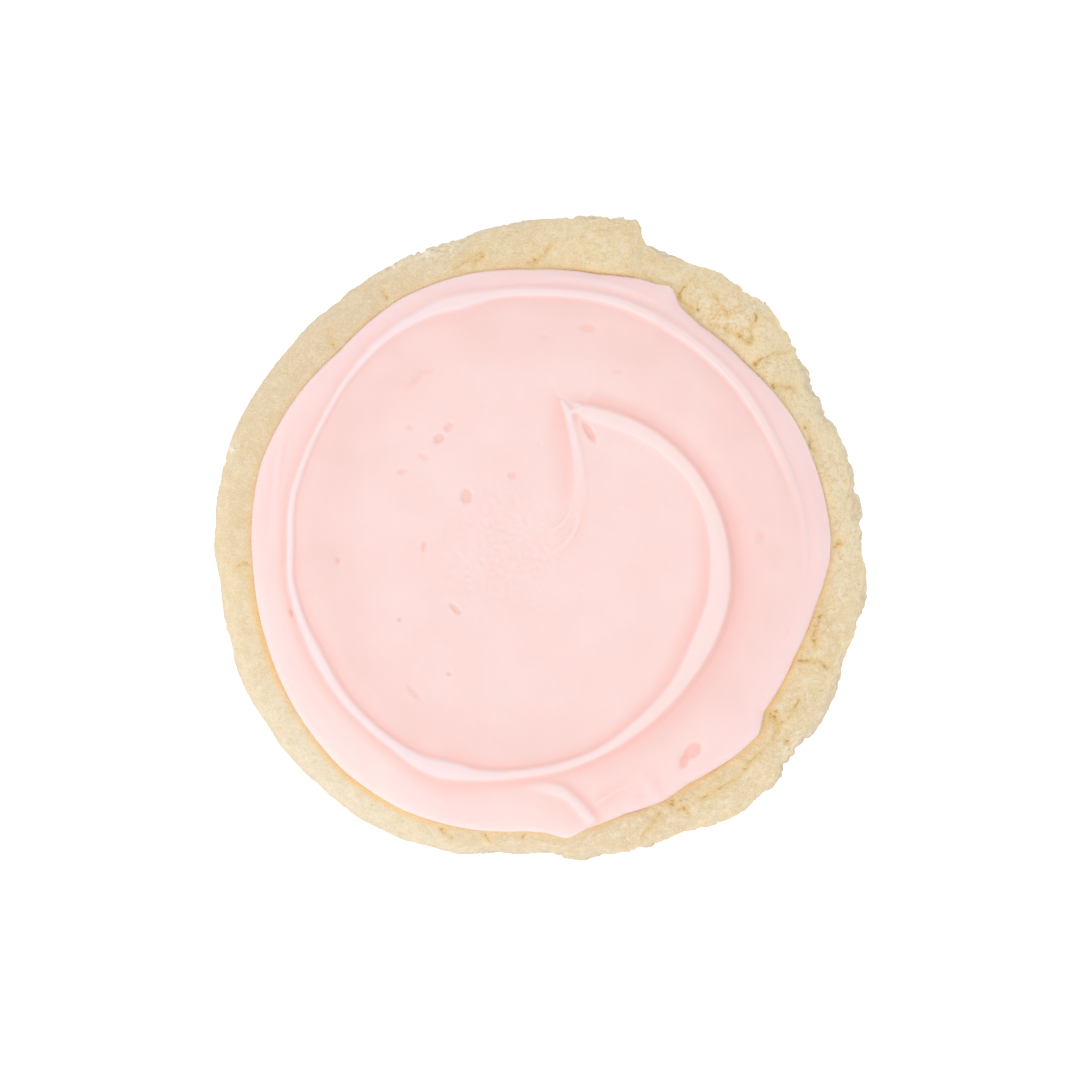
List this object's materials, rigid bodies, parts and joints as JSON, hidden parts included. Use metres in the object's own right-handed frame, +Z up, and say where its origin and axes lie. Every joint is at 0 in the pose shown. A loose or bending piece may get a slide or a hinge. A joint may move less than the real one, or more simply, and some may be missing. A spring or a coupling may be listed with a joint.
{
  "type": "iced sugar cookie",
  "caption": "Thick round baked sugar cookie with a craggy rim, topped with soft pink icing spread in a spiral by a knife.",
  "frame": {"origin": "middle of the flat base, on the surface it rests on", "axes": "+Z up through the icing, +Y towards the torn side of the rim, +X to the craggy side"},
  "size_m": [0.1052, 0.1038, 0.0182],
  "materials": {
    "baked_cookie": "dry, matt, pale golden baked crumb",
    "pink_icing": "soft satin pale pink icing"
  },
  "bodies": {
    "root": {"cookie": "baked_cookie", "icing": "pink_icing"}
  },
  "joints": []
}
